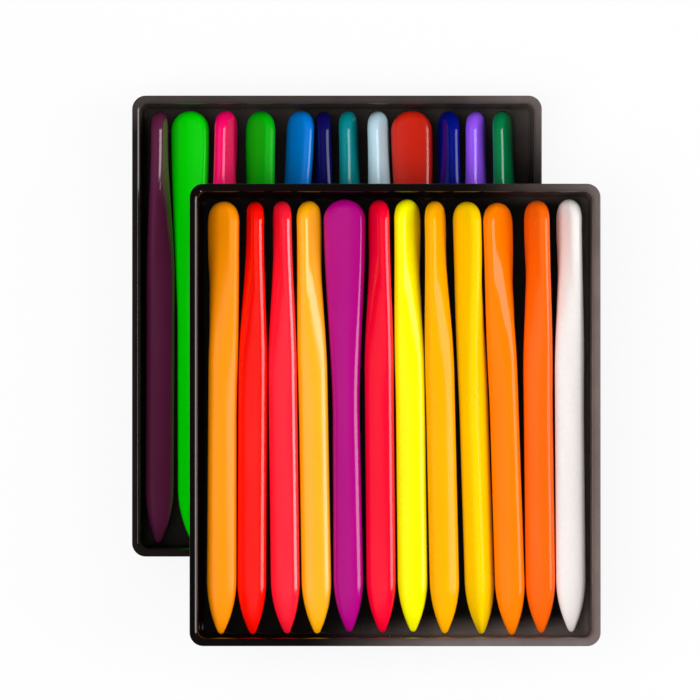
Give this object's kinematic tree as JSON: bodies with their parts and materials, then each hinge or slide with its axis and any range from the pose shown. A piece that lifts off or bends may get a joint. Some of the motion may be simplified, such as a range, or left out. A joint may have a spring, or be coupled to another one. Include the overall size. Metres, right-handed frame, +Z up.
{
  "type": "set of twist crayons in two trays",
  "caption": "Moulded crayons, triangular in the body and flattened to a round-ended paddle at the butt, lying side by side in two stacked shallow black trays.",
  "frame": {"origin": "under the middle of the two trays together, on the plane the lower tray stands on", "axes": "+X across the rows to the right, +Y along the crayons from tips to butts, +Z up"},
  "size_m": [0.13, 0.153, 0.0287],
  "materials": {
    "tray_black": "glossy black formed sheet",
    "plum": "waxy moulded plastic, satin gloss",
    "green": "waxy moulded plastic, satin gloss",
    "pink": "waxy moulded plastic, satin gloss",
    "grass": "waxy moulded plastic, satin gloss",
    "blue": "waxy moulded plastic, satin gloss",
    "navy": "waxy moulded plastic, satin gloss",
    "teal": "waxy moulded plastic, satin gloss",
    "ice": "waxy moulded plastic, satin gloss",
    "brick": "waxy moulded plastic, satin gloss",
    "ultramarine": "waxy moulded plastic, satin gloss",
    "violet": "waxy moulded plastic, satin gloss",
    "pine": "waxy moulded plastic, satin gloss",
    "saffron": "waxy moulded plastic, satin gloss",
    "red": "waxy moulded plastic, satin gloss",
    "rose": "waxy moulded plastic, satin gloss",
    "amber": "waxy moulded plastic, satin gloss",
    "magenta": "waxy moulded plastic, satin gloss",
    "crimson": "waxy moulded plastic, satin gloss",
    "lemon": "waxy moulded plastic, satin gloss",
    "gold": "waxy moulded plastic, satin gloss",
    "yellow": "waxy moulded plastic, satin gloss",
    "orange": "waxy moulded plastic, satin gloss",
    "vermilion": "waxy moulded plastic, satin gloss",
    "white": "waxy moulded plastic, satin gloss"
  },
  "bodies": {
    "lower_tray": {"lower_tray": "tray_black"},
    "upper_tray": {"upper_tray": "tray_black"},
    "lower_crayon_plum": {"lower_crayon_plum": "plum"},
    "lower_crayon_green": {"lower_crayon_green": "green"},
    "lower_crayon_pink": {"lower_crayon_pink": "pink"},
    "lower_crayon_grass": {"lower_crayon_grass": "grass"},
    "lower_crayon_blue": {"lower_crayon_blue": "blue"},
    "lower_crayon_navy": {"lower_crayon_navy": "navy"},
    "lower_crayon_teal": {"lower_crayon_teal": "teal"},
    "lower_crayon_ice": {"lower_crayon_ice": "ice"},
    "lower_crayon_brick": {"lower_crayon_brick": "brick"},
    "lower_crayon_ultramarine": {"lower_crayon_ultramarine": "ultramarine"},
    "lower_crayon_violet": {"lower_crayon_violet": "violet"},
    "lower_crayon_pine": {"lower_crayon_pine": "pine"},
    "upper_crayon_saffron": {"upper_crayon_saffron": "saffron"},
    "upper_crayon_red": {"upper_crayon_red": "red"},
    "upper_crayon_rose": {"upper_crayon_rose": "rose"},
    "upper_crayon_amber": {"upper_crayon_amber": "amber"},
    "upper_crayon_magenta": {"upper_crayon_magenta": "magenta"},
    "upper_crayon_crimson": {"upper_crayon_crimson": "crimson"},
    "upper_crayon_lemon": {"upper_crayon_lemon": "lemon"},
    "upper_crayon_gold": {"upper_crayon_gold": "gold"},
    "upper_crayon_yellow": {"upper_crayon_yellow": "yellow"},
    "upper_crayon_orange": {"upper_crayon_orange": "orange"},
    "upper_crayon_vermilion": {"upper_crayon_vermilion": "vermilion"},
    "upper_crayon_white": {"upper_crayon_white": "white"}
  },
  "joints": [
    {"name": "upper_tray_lift", "type": "slide", "parent": "lower_tray", "child": "upper_tray", "axis": [0, 0, 1], "range_m": [0, 0.05]},
    {"name": "lower_crayon_plum_lift", "type": "slide", "parent": "lower_tray", "child": "lower_crayon_plum", "axis": [0, 0, 1], "range_m": [0, 0.03]},
    {"name": "lower_crayon_green_lift", "type": "slide", "parent": "lower_tray", "child": "lower_crayon_green", "axis": [0, 0, 1], "range_m": [0, 0.0049]},
    {"name": "lower_crayon_pink_lift", "type": "slide", "parent": "lower_tray", "child": "lower_crayon_pink", "axis": [0, 0, 1], "range_m": [0, 0.002]},
    {"name": "lower_crayon_grass_lift", "type": "slide", "parent": "lower_tray", "child": "lower_crayon_grass", "axis": [0, 0, 1], "range_m": [0, 0.0029]},
    {"name": "lower_crayon_blue_lift", "type": "slide", "parent": "lower_tray", "child": "lower_crayon_blue", "axis": [0, 0, 1], "range_m": [0, 0.0027]},
    {"name": "lower_crayon_navy_lift", "type": "slide", "parent": "lower_tray", "child": "lower_crayon_navy", "axis": [0, 0, 1], "range_m": [0, 0.0016]},
    {"name": "lower_crayon_teal_lift", "type": "slide", "parent": "lower_tray", "child": "lower_crayon_teal", "axis": [0, 0, 1], "range_m": [0, 0.0018]},
    {"name": "lower_crayon_ice_lift", "type": "slide", "parent": "lower_tray", "child": "lower_crayon_ice", "axis": [0, 0, 1], "range_m": [0, 0.0019]},
    {"name": "lower_crayon_brick_lift", "type": "slide", "parent": "lower_tray", "child": "lower_crayon_brick", "axis": [0, 0, 1], "range_m": [0, 0.0052]},
    {"name": "lower_crayon_ultramarine_lift", "type": "slide", "parent": "lower_tray", "child": "lower_crayon_ultramarine", "axis": [0, 0, 1], "range_m": [0, 0.0019]},
    {"name": "lower_crayon_violet_lift", "type": "slide", "parent": "lower_tray", "child": "lower_crayon_violet", "axis": [0, 0, 1], "range_m": [0, 0.0019]},
    {"name": "lower_crayon_pine_lift", "type": "slide", "parent": "lower_tray", "child": "lower_crayon_pine", "axis": [0, 0, 1], "range_m": [0, 0.0019]},
    {"name": "upper_crayon_saffron_lift", "type": "slide", "parent": "upper_tray", "child": "upper_crayon_saffron", "axis": [0, 0, 1], "range_m": [0, 0.03]},
    {"name": "upper_crayon_red_lift", "type": "slide", "parent": "upper_tray", "child": "upper_crayon_red", "axis": [0, 0, 1], "range_m": [0, 0.03]},
    {"name": "upper_crayon_rose_lift", "type": "slide", "parent": "upper_tray", "child": "upper_crayon_rose", "axis": [0, 0, 1], "range_m": [0, 0.03]},
    {"name": "upper_crayon_amber_lift", "type": "slide", "parent": "upper_tray", "child": "upper_crayon_amber", "axis": [0, 0, 1], "range_m": [0, 0.03]},
    {"name": "upper_crayon_magenta_lift", "type": "slide", "parent": "upper_tray", "child": "upper_crayon_magenta", "axis": [0, 0, 1], "range_m": [0, 0.03]},
    {"name": "upper_crayon_crimson_lift", "type": "slide", "parent": "upper_tray", "child": "upper_crayon_crimson", "axis": [0, 0, 1], "range_m": [0, 0.03]},
    {"name": "upper_crayon_lemon_lift", "type": "slide", "parent": "upper_tray", "child": "upper_crayon_lemon", "axis": [0, 0, 1], "range_m": [0, 0.03]},
    {"name": "upper_crayon_gold_lift", "type": "slide", "parent": "upper_tray", "child": "upper_crayon_gold", "axis": [0, 0, 1], "range_m": [0, 0.03]},
    {"name": "upper_crayon_yellow_lift", "type": "slide", "parent": "upper_tray", "child": "upper_crayon_yellow", "axis": [0, 0, 1], "range_m": [0, 0.03]},
    {"name": "upper_crayon_orange_lift", "type": "slide", "parent": "upper_tray", "child": "upper_crayon_orange", "axis": [0, 0, 1], "range_m": [0, 0.03]},
    {"name": "upper_crayon_vermilion_lift", "type": "slide", "parent": "upper_tray", "child": "upper_crayon_vermilion", "axis": [0, 0, 1], "range_m": [0, 0.03]},
    {"name": "upper_crayon_white_lift", "type": "slide", "parent": "upper_tray", "child": "upper_crayon_white", "axis": [0, 0, 1], "range_m": [0, 0.03]}
  ]
}
